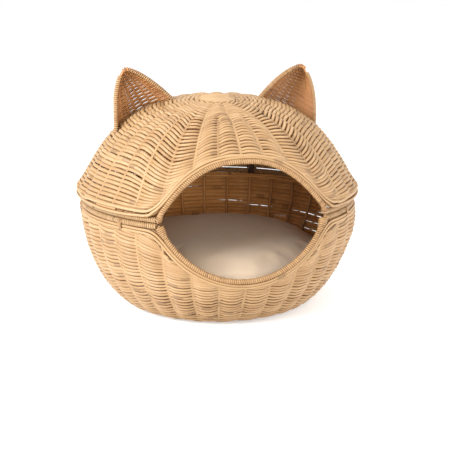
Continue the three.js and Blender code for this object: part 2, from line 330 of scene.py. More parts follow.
class Nodes:
    """A material's node tree, built from Python."""

    def __init__(self, name: str) -> None:
        """Makes an empty material with only its output and shader.

        Args:
            name: The material's name.
        """
        self.material = bpy.data.materials.new(name)
        self.material.use_nodes = True
        self.tree = self.material.node_tree
        self.tree.nodes.clear()
        self.shader = self.add("ShaderNodeBsdfPrincipled")
        self.add("ShaderNodeOutputMaterial", {}, {"Surface": self.shader.outputs[0]})

    def add(
        self, kind: str, settings: dict[str, Any] | None = None, inputs: dict[Any, Any] | None = None
    ) -> bpy.types.Node:
        """Adds any node.

        Args:
            kind: The node's type.
            settings: Its properties, set first. "stops" fills a colour ramp.
            inputs: Numbers, colours, sockets or Values, by socket name or number.

        Returns:
            The node.
        """
        node = self.tree.nodes.new(kind)
        for key, value in (settings or {}).items():
            if key == "stops":
                ramp = node.color_ramp
                while len(ramp.elements) < len(value):
                    ramp.elements.new(0.5)
                for element, (position, colour) in zip(ramp.elements, value):
                    element.position = position
                    element.color = (*colour, 1.0)
            else:
                setattr(node, key, value)
        for key, value in (inputs or {}).items():
            socket = value.socket if isinstance(value, Value) else value
            if isinstance(socket, bpy.types.NodeSocket):
                self.tree.links.new(socket, node.inputs[key])
            else:
                node.inputs[key].default_value = socket
        return node

    def noise(self, vector: Any, scale: float, detail: float = 2.0, roughness: float = 0.5) -> Value:
        """Smooth noise from 0 to 1 read at a vector."""
        inputs = {"Vector": vector, "Scale": scale, "Detail": detail, "Roughness": roughness}
        return Value(self, self.add("ShaderNodeTexNoise", {}, inputs).outputs["Fac"])

    def mapped(self, vector: Any, scale: tuple[float, float, float]) -> bpy.types.NodeSocket:
        """The vector with each of its parts multiplied."""
        return self.add("ShaderNodeMapping", {}, {"Vector": vector, "Scale": scale}).outputs[0]

    def mix(self, factor: Any, first: Any, second: Any, blend: str = "MIX") -> bpy.types.NodeSocket:
        """A colour between two, or blended from two."""
        settings = {"data_type": "RGBA", "blend_type": blend}
        return self.add("ShaderNodeMix", settings, {0: factor, 6: first, 7: second}).outputs[2]

    def bump(self, height: Any, distance: float, strength: float = 1.0) -> bpy.types.NodeSocket:
        """A normal disturbed by a height."""
        inputs = {"Height": height, "Distance": distance, "Strength": strength}
        return self.add("ShaderNodeBump", {}, inputs).outputs[0]

    def surface(self, **inputs: Any) -> bpy.types.Material:
        """Feeds the shader, with underscores for spaces in socket names.

        Returns:
            The finished material.
        """
        for key, value in inputs.items():
            name = key.replace("_", " ").title().replace("Ior", "IOR")
            socket = value.socket if isinstance(value, Value) else value
            target = self.shader.inputs[name]
            if isinstance(socket, bpy.types.NodeSocket):
                self.tree.links.new(socket, target)
            else:
                target.default_value = socket
        return self.material


Colour = tuple[float, float, float]
WHITE = (1.0, 1.0, 1.0)


def rgba(colour: Colour) -> tuple[float, float, float, float]:
    """The colour, opaque."""
    return (*colour, 1.0)


class Finish:
    """Something that pieces are made of. Its material is made once and shared."""

    name: str

    def material(self) -> bpy.types.Material:
        """The finish's material."""
        return bpy.data.materials.get(self.name) or self.make()

    def make(self) -> bpy.types.Material:
        """Builds the material."""
        raise NotImplementedError


@dataclass(frozen=True)
class Rattan(Finish):
    """Cane: a satin skin with fine grain along it, uneven colour, and joints now and then.

    Painted shade darkens the strand's two sides, where it meets its neighbours, and the side that faces
    into the basket is recoloured warmer, painted warm bounce light.
    """

    name: str
    pale: Colour
    middle: Colour
    deep: Colour
    roughness: float = 0.5
    coat: float = 0.2
    # Painted shade: multiplied into the strand's two sides, where rows touch.
    row_gap_shade: Colour = (0.44, 0.34, 0.24)
    # Painted warm bounce light: multiplied into the side that faces into the basket; the ears' weaker inner
    # colour is slightly darker, painted shade.
    inner: Colour = (1.9, 1.6, 1.2)

    def make(self) -> bpy.types.Material:
        """Builds the material from the strand's length and turn, and its tint.

        Returns:
            The finished material.
        """
        nodes = Nodes(self.name)
        uv = nodes.add("ShaderNodeUVMap", {"uv_map": "grain"}).outputs[0]
        tint = Value(nodes, nodes.add("ShaderNodeAttribute", {"attribute_name": "tint"}).outputs["Fac"])
        place = nodes.add("ShaderNodeTexCoord").outputs["Object"]
        blotch = nodes.noise(place, 38.0, 3.0)
        along = nodes.noise(nodes.mapped(uv, (42.0, 2.2, 1.0)), 1.0, 3.0, 0.6)
        grain = nodes.noise(nodes.mapped(uv, (60.0, 34.0, 1.0)), 1.0, 2.0, 0.6)
        shade = tint * 0.42 + along * 0.36 + blotch * 0.34 + grain * 0.16 - 0.18
        stops = [(0.0, self.pale), (0.5, self.middle), (1.0, self.deep)]
        colour = nodes.add("ShaderNodeValToRGB", {"stops": stops}, {0: shade}).outputs[0]
        knot = (nodes.noise(nodes.mapped(uv, (27.0, 0.02, 1.0)), 1.0, 0.0) - 0.68).over(0.0) * 0.4
        scuffs = (grain - 0.60).over(0.0) * 0.22
        colour = nodes.mix(knot, colour, rgba(tuple(0.45 * part for part in self.deep)))
        colour = nodes.mix(scuffs, colour, rgba(self.deep))
        side = Value(nodes, nodes.add("ShaderNodeSeparateXYZ", {}, {0: uv}).outputs[1])
        # Painted shade: darker towards the strand's two sides (side 0.25 and 0.75), where rows meet.
        crevice = (0.5 - (side * (2 * TURN) + math.pi / 2).sine() * 0.5).power(3.0)
        gap_shaded = nodes.mix(1.0, colour, rgba(self.row_gap_shade), "MULTIPLY")
        colour = nodes.mix(crevice * 0.85, colour, gap_shaded)
        # Painted warm bounce light on the side that faces into the basket (side 0.5).
        inward = 0.5 - (side * TURN + math.pi / 2).sine() * 0.5
        inward_bounce = nodes.mix(1.0, colour, rgba(self.inner), "MULTIPLY")
        colour = nodes.mix(inward * 1.6 - 0.6, colour, inward_bounce)
        return nodes.surface(
            base_color=colour,
            roughness=grain * 0.25 + (self.roughness - 0.12),
            coat_weight=self.coat,
            coat_roughness=0.35,
            specular_ior_level=0.4,
            normal=nodes.bump(grain * 0.7 + along * 0.3, 0.0004, 0.5),
        )


@dataclass(frozen=True)
class Cloth(Finish):
    """Plain-woven cotton: crossing threads, soft slubs, and a faint sheen."""

    name: str
    light: Colour
    dark: Colour
    thread: float = 0.9 * MM

    def make(self) -> bpy.types.Material:
        """Builds the material on Object coordinates.

        Returns:
            The finished material.
        """
        nodes = Nodes(self.name)
        place = nodes.add("ShaderNodeTexCoord").outputs["Object"]
        parts = nodes.add("ShaderNodeSeparateXYZ", {}, {0: place}).outputs
        turns = TURN / self.thread
        warp = (Value(nodes, parts[0]) * turns).sine()
        weft = (Value(nodes, parts[1]) * turns).sine()
        weave = warp * weft * 0.5 + 0.5
        slub = nodes.noise(nodes.mapped(place, (60.0, 420.0, 60.0)), 1.0, 2.0)
        soft = nodes.noise(place, 14.0, 3.0)
        shade = weave * 0.22 + slub * 0.4 + soft * 0.5
        stops = [(0.25, self.dark), (0.85, self.light)]
        colour = nodes.add("ShaderNodeValToRGB", {"stops": stops}, {0: shade}).outputs[0]
        return nodes.surface(
            base_color=colour,
            roughness=0.92,
            sheen_weight=0.25,
            sheen_roughness=0.5,
            specular_ior_level=0.2,
            normal=nodes.bump(weave * 0.6 + slub * 0.4, 0.0003, 0.6),
        )


class Finishes(Enum):
    """The finishes that the basket is made of."""

    WEAVER = Rattan("weaver_cane", (0.43, 0.28, 0.145), (0.335, 0.20, 0.088), (0.212, 0.102, 0.035))
    ROD = Rattan("rod_cane", (0.43, 0.285, 0.15), (0.355, 0.214, 0.095), (0.245, 0.127, 0.047))
    # The ears' inner colour paints a warmer, slightly darker shade on their inward side.
    EAR = Rattan(
        "ear_cane", (0.44, 0.285, 0.15), (0.34, 0.20, 0.09), (0.22, 0.105, 0.036), inner=(1.15, 0.86, 0.62)
    )
    SPLIT = Rattan("split_cane_skin", (0.41, 0.258, 0.122), (0.32, 0.18, 0.074), (0.20, 0.092, 0.032), 0.42)
    LASHING = Rattan("dark_lashing_cane", (0.10, 0.05, 0.025), (0.06, 0.028, 0.014), (0.03, 0.014, 0.008))
    CUSHION = Cloth("cream_cotton", (0.56, 0.445, 0.33), (0.46, 0.36, 0.26))
    ZIP = Cloth("zip_tape_cotton", (0.66, 0.57, 0.46), (0.5, 0.42, 0.33), 0.6 * MM)


# ---------------------------------------------------------------- wall surfaces


@dataclass
class Profile:
    """A turned wall's middle surface, given by how far along it, s, and the angle round it."""

    radius: Array
    height: Array
    outward: float

    def __post_init__(self) -> None:
        """Works out the distance along the profile and the wall's normal."""
        dr, dz = np.gradient(self.radius), np.gradient(self.height)
        self.s = distances(np.stack([self.radius, self.height], -1))
        size = np.hypot(dr, dz)
        self.normal_r, self.normal_z = self.outward * dz / size, -self.outward * dr / size

    @property
    def length(self) -> float:
        """The whole profile's length."""
        return float(self.s[-1])

    def radius_at(self, s: Array) -> Array:
        """The middle surface's radius at s."""
        return np.interp(s, self.s, self.radius)

    def s_at_height(self, z: Array) -> Array:
        """How far along the profile lies at a height."""
        order = np.argsort(self.height)
        return np.interp(z, self.height[order], self.s[order])

    def place(self, angle: Array, s: Array, offset: Array | float = 0.0) -> Array:
        """Points on the wall, moved square to it: (r sin a, -r cos a, z) with r and z offset.

        Args:
            angle: Angles round the wall.
            s: How far along the profile.
            offset: How far outside the wall.

        Returns:
            The points.
        """
        r = self.radius_at(s) + offset * np.interp(s, self.s, self.normal_r)
        z = np.interp(s, self.s, self.height) + offset * np.interp(s, self.s, self.normal_z)
        return np.stack([r * np.sin(angle), -r * np.cos(angle), z + 0 * r], -1)


def runs(mask: Array) -> list[Array]:
    """Index runs where a ring's mask is true, each unbroken across the ring's join.

    Args:
        mask: Which points of the ring are kept.

    Returns:
        The index runs, in order round the ring.
    """
    if mask.all():
        return [np.arange(len(mask))]
    first = int(np.argmin(mask))
    order = (np.arange(len(mask)) + first) % len(mask)
    return [order[span] for span in spans(mask[order])]


def signed(angle: Array) -> Array:
    """The angle brought to between minus and plus half a turn."""
    return (np.asarray(angle) + math.pi) % TURN - math.pi


def flank(angle: Array, aside: float, width: float) -> Array:
    """A bell on each side of the doorway: e^-((|a| - aside) / width)^2, both in degrees."""
    return np.exp(-(((np.abs(signed(angle)) - math.radians(aside)) / math.radians(width)) ** 2))


def band_tints(rng: np.random.Generator, count: int, pieces: int) -> Array:
    """Tints along a row that is spliced from several canes, one value for each cane.

    Args:
        rng: For the cuts and the tints.
        count: How many points there are.
        pieces: How many canes the row is spliced from.

    Returns:
        One tint for each point.
    """
    cuts = np.sort(rng.integers(0, count, pieces - 1))
    lengths = np.diff(np.concatenate([[0], cuts, [count]]))
    return np.repeat(rng.beta(2.2, 2.2, pieces), lengths)


@dataclass
class WovenShell:
    """One half of the basket: rows woven in and out of upright stakes, up to an open edge."""

    layout: Layout
    body: str
    sign: int
    seed: int
    row_count: int
    # Row cane: radius, width for depth, and how much flatter it lies where rows are tight.
    weaver: float = 2.3 * MM
    weaver_flat: float = 1.12
    snug: float = 0.38
    # Stakes: radius, width for depth, and the offsets of the exposed and the hidden ones.
    stake: float = 1.6 * MM
    stake_flat: float = 1.8
    lean: tuple[float, float] = (-0.9 * MM, -2.0 * MM)
    # Weave: how far rows stand out, how far they dive behind a stake, and how often.
    bulge: float = 2.6 * MM
    dive: float = 4.2 * MM
    waves: int = 32
    steps: int = 12
    # Where rows meet the open edge: bending lengths, overlap, and distance from it.
    merge: tuple[float, float] = (3.2 * MM, 9.5 * MM)
    tuck: float = 3.0 * MM
    row_inset: float = 7.5 * MM
    # Hand weaving: long waver, wander from stake to stake, and uneven swing.
    row_waver: float = 0.16 * MM
    row_wander: float = 0.36 * MM
    uneven: float = 0.09
    # Edge canes: distances from the edge, offsets from the wall, and radius.
    rim_canes: tuple[float, ...] = (5.8 * MM, 10.4 * MM)
    rim_cane_offsets: tuple[float, float] = (1.9 * MM, -3.6 * MM)
    rim_cane: float = 2.35 * MM
    # Doorway rim and hoop: rod radius, move towards the seam, and the corner knots' size.
    rim_radius: float = 2.9 * MM
    hoop_shift: float = 0.6 * MM
    knot: float = 12 * MM
    bulb: float = 2.2 * MM

    def __post_init__(self) -> None:
        """Makes the profile and the edge's tables."""
        self.rng = np.random.default_rng(self.seed)
        self.profile = self.make_profile()
        self.ring = ring_angles(1440)
        self.edge = self.edge_s(self.ring)

    def make_profile(self) -> Profile:
        """The half's middle surface."""
        raise NotImplementedError

    def level(self, share: float, angle: Array) -> Array:
        """How far along the profile a row runs at each angle."""
        raise NotImplementedError

    def door_edge(self, share: Array) -> Array:
        """The doorway edge's distance from the seam, at a share of its half angle."""
        raise NotImplementedError

    def place(self, angle: Array, s: Array, offset: Array | float = 0.0) -> Array:
        """Points on the wall, moved square to it."""
        return self.profile.place(angle, s, offset + self.flare(angle, s))

    def flare(self, angle: Array, s: Array) -> Array:
        """How far the hand-woven wall stands off its true shape."""
        return 0.0 * s

    def calm(self, s: Array) -> Array:
        """How much of the rows' full swing is left at s."""
        return 1.0 + 0.0 * s

    def tightness(self, angle: Array, s: Array) -> Array:
        """How closely the rows are beaten down: looser in front, closest at the back."""
        around = np.abs(signed(angle))
        return smoothstep(0.5, 1.15, around) + 0.85 * smoothstep(1.6, 2.4, around)

    def gap(self, angle: Array) -> Array:
        """How much further from the edge the rows keep."""
        return 0.0 * angle

    def behind(self, angle: Array, s: Array) -> Array:
        """1 where a row is behind an exposed stake: ((1 + cos(waves * angle)) / 2)^1.8."""
        return ((1 + np.cos(self.waves * angle)) / 2) ** 1.8

    def normal(self, angle: Array, s: Array) -> Array:
        """The wall's outward direction."""
        return self.place(angle, s, 1.0) - self.place(angle, s, 0.0)

    @property
    def hoop_height(self) -> float:
        """The height of the hoop's middle."""
        return self.layout.seam + self.sign * self.layout.hoop_offset

    def edge_s(self, angle: Array) -> Array:
        """How far along the profile the open edge lies: the hoop, or the doorway where it dips.

        Args:
            angle: Angles round the wall.

        Returns:
            How far along the profile, one value for each angle.
        """
        share = np.clip(np.abs(signed(angle)) / self.layout.door_angle, 0.0, 1.0)
        rise = np.maximum(self.door_edge(share), self.layout.hoop_offset)
        return self.profile.s_at_height(self.layout.seam + self.sign * rise)

    def edge_line(self, inset: float, rounding: float) -> Array:
        """The edge moved into the wall by `inset`, with its corners rounded over an angle.

        The rounding is an average over neighbours, and the inset is measured square to the line.

        Args:
            inset: How far from the edge the line keeps, square to it.
            rounding: The angle over which corners are rounded, in radians.

        Returns:
            How far along the profile, one value for each angle of the ring.
        """
        line = self.edge
        if rounding:
            width = int(rounding / TURN * len(line))
            kernel = np.hanning(2 * width + 3)[1:-1]
            wrapped = np.concatenate([line[-width:], line, line[:width]])
            line = np.convolve(wrapped, kernel / kernel.sum(), "valid")
        slope = np.gradient(line) / (self.profile.radius_at(line) * TURN / len(line))
        return line - inset * np.sqrt(1.0 + np.minimum(np.abs(slope), 3.0) ** 2)

    def at(self, table: Array, angle: Array) -> Array:
        """A ring table read at any angle."""
        return np.interp(np.asarray(angle) % TURN, self.ring, table, period=TURN)

    # -- pieces

    def piece(
        self, name: str, fill: Callable[[Bundle], None], finish: Finishes, slot: str, *nodes: str
    ) -> None:
        """Builds one piece of this half.

        Args:
            name: The piece's name, after the body's.
            fill: Adds the strands.
            finish: What it is made of.
            slot: The record's material slot.
            nodes: CAD nodes that it stands for.
        """
        bundle = Bundle(f"{self.body}_{name}")
        fill(bundle)
        bundle.build(finish.value, self.body, slot, nodes)

    def edge_pieces(self) -> None:
        """Builds what both halves have along their open edge, after the rows."""
        self.piece("stakes", self.stakes, Finishes.WEAVER, "woven_cane")
        self.piece("edge_canes", self.canes, Finishes.ROD, "cane_rod")
        self.piece("doorway_winding", self.rim, Finishes.SPLIT, "cane_rod", f"{self.body}_doorway_rim")
        self.piece("hoop_rod", self.hoop, Finishes.ROD, "cane_rod", f"{self.body}_hoop")

    def rows(self, bundle: Bundle, numbers: range) -> None:
        """Adds rows that pass in and out, and run beside the edge where they meet it.

        The offset from the wall is bulge - dive * behind(angle, s). Near its limit a row bends
        along it: limit - merge * ln(1 + e^x), where x = (limit - s) / merge. It ends where s
        passes the limit by `tuck`. Merging is wider on the doorway's flanks.

        Args:
            bundle: Where the strands go.
            numbers: Which of the rows to add.
        """
        limit = self.edge_line(self.row_inset, math.radians(11)) - self.gap(self.ring)
        count = self.waves * self.steps
        angle = ring_angles(count)
        posts = ring_angles(self.waves)
        merge = self.merge[0] + (self.merge[1] - self.merge[0]) * flank(angle, 32, 13)
        for number in numbers:
            s = self.level((number + 0.5) / self.row_count, angle)
            for harmonic in (2, 3, 5, 9):
                phase = self.rng.uniform(0, TURN)
                s = s + self.rng.normal(0, self.row_waver) * np.sin(harmonic * angle + phase)
            wander = self.rng.normal(0, self.row_wander, self.waves)
            s = s + np.interp(angle, posts, wander, period=TURN)
            swell = 1.0 + np.interp(angle, posts, self.rng.normal(0, self.uneven, self.waves), period=TURN)
            room = self.at(limit, angle) - s
            inside = (room > -self.tuck) & (s > 0)
            s = s + room - merge * np.logaddexp(0, room / merge)
            free = smoothstep(-self.tuck, 2 * self.tuck, room)
            swing = self.bulge - self.dive * self.behind(angle, s)
            offset = swell * self.calm(s) * swing * free - 1.2 * MM * (1 - free)
            path = self.place(angle, s, offset)
            hint = self.normal(angle, s)
            tint = band_tints(self.rng, count, 5)
            radius = self.weaver * self.rng.normal(1.0, 0.035)
            flat = self.weaver_flat + self.snug * self.tightness(angle, s)
            for run in runs(inside):
                look = {"flat": flat[run], "closed": len(run) == count, "tint": tint[run]}
                bundle.strand(path[run], hint[run], radius, start=self.rng.uniform(0, 3), **look)

    def stake_line(
        self, bundle: Bundle, angle: float, low: float, high: float, lean: Callable[[Array], Array]
    ) -> None:
        """Adds one upright stake.

        Args:
            bundle: Where the strand goes.
            angle: Where round the wall it stands.
            low: Where along the profile it starts.
            high: Where it ends, tucked in by its own thickness.
            lean: Its offset from the wall along the profile. Stakes inside the rows get a deeper tint,
                painted shade.
        """
        s = np.linspace(low, high, 34)
        near = smoothstep(high - 16 * MM, high - 5 * MM, s)
        offset = lean(s) * (1 - near) - self.stake * near
        crook = 0.0025
        around = angle + self.rng.normal(0, crook) + crook * np.sin(s * 40 + self.rng.uniform(0, TURN))
        # Painted shade: stakes that run inside the rows get a deeper tint.
        hidden_shade = 0.6 if float(lean(s).mean()) < -1.2 * MM else 0.0
        tint = self.rng.beta(2, 3) + hidden_shade
        look = {"flat": self.stake_flat, "tint": tint, "start": self.rng.uniform(0, 3)}
        bundle.strand(self.place(around, s, offset), self.normal(around, s), self.stake, **look)

    def canes(self, bundle: Bundle) -> None:
        """Adds the plain canes that sweep along the whole open edge, outside and inside.

        Args:
            bundle: Where the strands go.
        """
        angle = self.ring[::3]
        for index, inset in enumerate(self.rim_canes):
            line = self.edge_line(inset, math.radians(8.0 + 1.5 * index))[::3]
            for offset in self.rim_cane_offsets:
                wobble = 0.5 * MM * np.sin(9 * angle + self.rng.uniform(0, TURN))
                path = self.place(angle, line + wobble, offset)
                tint = band_tints(self.rng, len(angle), 4)
                bundle.strand(path, self.normal(angle, line), self.rim_cane, closed=True, tint=tint)

    def door_line(self, count: int = 260) -> tuple[Array, Array]:
        """The doorway rim's middle line and the wall's normal along it, packed at the corners.

        Args:
            count: How many points to give.

        Returns:
            The points and the normals.
        """
        share = np.sin(np.linspace(-math.pi / 2, math.pi / 2, count)) * 0.995
        rise = np.maximum(self.door_edge(np.abs(share)), self.layout.hoop_offset)
        s = self.profile.s_at_height(self.layout.seam + self.sign * rise)
        angle = share * self.layout.door_angle
        return self.place(angle, s), self.normal(angle, s)

    def rim(self, bundle: Bundle) -> None:
        """Adds the doorway's rod and the cane wound round it, thicker at the two corners.

        Args:
            bundle: Where the strands go.
        """
        line, normal = self.door_line()
        bundle.strand(line, normal, self.rim_radius, sides=8, tint=0.75)
        wind(bundle, line, normal, self.rim_radius + 0.55 * MM, 3.15 * MM, self.rng, np.ones(len(line)))
        length = distances(line)
        for near in (length < self.knot, length[-1] - length < self.knot):
            bulb = 0.5 + 0.5 * np.sin(np.linspace(0.1, math.pi - 0.1, int(near.sum())))
            wind(bundle, line[near], normal[near], self.rim_radius + self.bulb, 2.8 * MM, self.rng, bulb)

    def hoop(self, bundle: Bundle) -> None:
        """Adds the hoop rod and the flat cane wound round it.

        Args:
            bundle: Where the strands go.
        """
        margin = self.layout.door_angle + math.radians(0.9)
        angle = np.linspace(margin, TURN - margin, 260)
        radial = round_z(angle, 1.0, 0.0)
        path = round_z(angle, self.layout.hoop_radius, self.hoop_height - self.sign * self.hoop_shift)
        bundle.strand(path, radial, self.layout.hoop_rod, sides=8, tint=0.7)
        reach = self.layout.hoop_rod + 0.1 * MM
        wind(bundle, path, radial, reach, 3.6 * MM, self.rng, np.ones(len(path)), 6.0)


def wind(
    bundle: Bundle,
    line: Array,
    normal: Array,
    reach: float,
    pitch: float,
    rng: np.random.Generator,
    swell: Array,
    flat: float = 2.2,
) -> None:
    """Winds split cane round a line: line + reach * (cos t * normal + sin t * binormal).

    Args:
        bundle: Where the strand goes.
        line: The line that it goes round, (n, 3).
        normal: A direction square to the line, (n, 3).
        reach: The winding's radius.
        pitch: The distance between turns.
        rng: For the tints.
        swell: A multiplier of the radius along the line.
        flat: How many times wider than thick the strand is.
    """
    length = distances(line)
    turns = length[-1] / pitch
    per_turn = 11
    samples = int(turns * per_turn)
    along = np.linspace(0, length[-1], samples)
    centre = np.stack([np.interp(along, length, line[:, k]) for k in range(3)], -1)
    upright = np.stack([np.interp(along, length, normal[:, k]) for k in range(3)], -1)
    tangent = unit(np.gradient(centre, axis=0))
    upright = unit(upright - np.sum(upright * tangent, -1, keepdims=True) * tangent)
    binormal = np.cross(tangent, upright)
    turn = TURN * along / pitch
    out = np.cos(turn)[:, None] * upright + np.sin(turn)[:, None] * binormal
    grown = reach * np.interp(along, length, swell)[:, None]
    tint = np.repeat(rng.beta(2, 2.4, int(turns) + 2), per_turn)[:samples]
    bundle.strand(centre + grown * out, out, pitch / 2 / flat * 0.98, flat=flat, sides=5, tint=tint)


@dataclass
class Bowl(WovenShell):
    """The lower half: from the foot border up to the hoop and the scooped doorway."""

    power: float = 2.325
    fullness: float = 0.855
    knot: float = 19 * MM
    bulb: float = 3.4 * MM
    row_pitch: float = 6.65 * MM
    base_pitch: float = 6.0915 * MM
    base_height: float = 6.6 * MM
    base_hub: float = 30 * MM
    spokes: int = 32

    def gap(self, angle: Array) -> Array:
        """Two openings beside the scoop, 10 mm wide and 32 degrees off the middle."""
        return 10 * MM * flank(angle, 32, 4)

    def calm(self, s: Array) -> Array:
        """A third of the swing at the foot, all of it 35 mm up."""
        return 0.3 + 0.7 * smoothstep(2 * MM, 35 * MM, s)

    def make_profile(self) -> Profile:
        """Radius = foot + (rim - foot) * (1 - depth^power)^fullness, from the foot upwards.

        Returns:
            The profile.
        """
        height = np.linspace(6.5 * MM, self.layout.seam, 500)
        depth = 1.0 - height / self.layout.seam
        foot = self.layout.foot_outer - 5.5 * MM
        radius = foot + (self.layout.hoop_radius - foot) * (1 - depth**self.power) ** self.fullness
        return Profile(radius, height, 1.0)

    def door_edge(self, share: Array) -> Array:
        """Drop below the seam: door_bottom * (1 - share^2.2)^0.8."""
        return self.layout.door_bottom * (1 - share**2.2) ** 0.8

    def level(self, share: float, angle: Array) -> Array:
        """Rows 6.65 mm apart, sagging towards the doorway by a bell curve of the angle.

        The sag is 0.3 mm a row, and 4 mm a row above the doorway's sill.

        Args:
            share: The row's place, 0 at the start of the profile to 1 at its end.
            angle: Angles round the wall.

        Returns:
            How far along the profile, one value for each angle.
        """
        number = self.row_count * share
        sag = (0.3 * number + 8 * math.log1p(math.exp((number - 13.5) / 2))) * MM
        return number * self.row_pitch - sag * np.exp(-((signed(angle) / math.radians(38)) ** 2))

    def flare(self, angle: Array, s: Array) -> Array:
        """A fuller right shoulder: 5.5 mm * sin^2 on the right, in a bell along the wall.

        Args:
            angle: Angles round the wall.
            s: How far along the profile.

        Returns:
            The offset at each place.
        """
        right = np.clip(np.sin(angle), 0, 1) ** 2
        below = self.profile.length - s
        return 5.5 * MM * right * np.exp(-(((below - 42 * MM) / (36 * MM)) ** 2))

    def stakes(self, bundle: Bundle) -> None:
        """Adds the exposed stakes and, midway between them, the hidden ones.

        Args:
            bundle: Where the strands go.
        """
        limit = self.edge_line(1.5 * MM, 0.0)
        for index in range(2 * self.waves):
            angle = TURN * index / (2 * self.waves)
            lean = self.lean[index % 2]
            top = float(self.at(limit, np.array([angle]))[0])
            self.stake_line(bundle, angle, 0.0, top, lambda s, lean=lean: lean + 0 * s)

    def foot(self) -> Bundle:
        """Three canes rolled round each other into the foot border, in a ring.

        Returns:
            The border, as a bundle.
        """
        bundle = Bundle("foot_border_canes")
        roll, cane, rolls = 3.9 * MM, 3.1 * MM, 8
        angle = ring_angles(264)
        middle = self.layout.foot_outer - roll - cane - 0.5 * MM
        for index in range(3):
            turn = rolls * angle + TURN * index / 3
            rise = roll + cane + 0.2 * MM + roll * np.sin(turn)
            path = round_z(angle, middle + roll * 1.15 * np.cos(turn), rise)
            hint = round_z(angle, np.cos(turn), np.sin(turn))
            tint = band_tints(self.rng, len(angle), 6)
            bundle.strand(path, hint, cane, sides=8, closed=True, tint=tint)
        return bundle

    def base(self) -> Bundle:
        """The flat woven base: rings in and out of spokes, round a crossed middle.

        Returns:
            The base, as a bundle.
        """
        bundle = Bundle("base_weave")
        edge = self.layout.base_radius
        for index in range(self.spokes):
            lift = 0.9 * MM * (1 if index % 2 else -1)
            r = np.linspace(self.base_hub - 6 * MM, edge + 14 * MM, 24)
            path = round_z(TURN * index / self.spokes + 0 * r, r, self.base_height + lift)
            bundle.strand(path, DOWN, self.stake * 0.95, tint=self.rng.beta(2, 2))
        waves = self.spokes // 2
        angle = ring_angles(10 * waves)
        for radius in np.arange(self.base_hub, edge + 2 * MM, self.base_pitch):
            path = round_z(angle, radius, self.base_height + 2.4 * MM * np.cos(waves * angle))
            tint = band_tints(self.rng, len(angle), 4)
            bundle.strand(path, DOWN, self.weaver * 0.97, closed=True, tint=tint)

        def flat(x: Array, y: Array, lift: float) -> Array:
            """Points on the base."""
            return np.stack([x, y, self.base_height + lift + 0 * x], -1)

        crossed(bundle, self.base_hub, flat, DOWN, self.rng)
        return bundle

    def build(self) -> None:
        """Builds the bowl's pieces."""
        weave = functools.partial(self.rows, numbers=range(self.row_count))
        self.piece("rows", weave, Finishes.WEAVER, "woven_cane", "bowl_wall")
        self.edge_pieces()
        self.foot().build(Finishes.ROD.value, "bowl", "cane_rod", ("bowl_foot_border",))
        self.base().build(Finishes.WEAVER.value, "bowl", "woven_cane", ("bowl_base",))


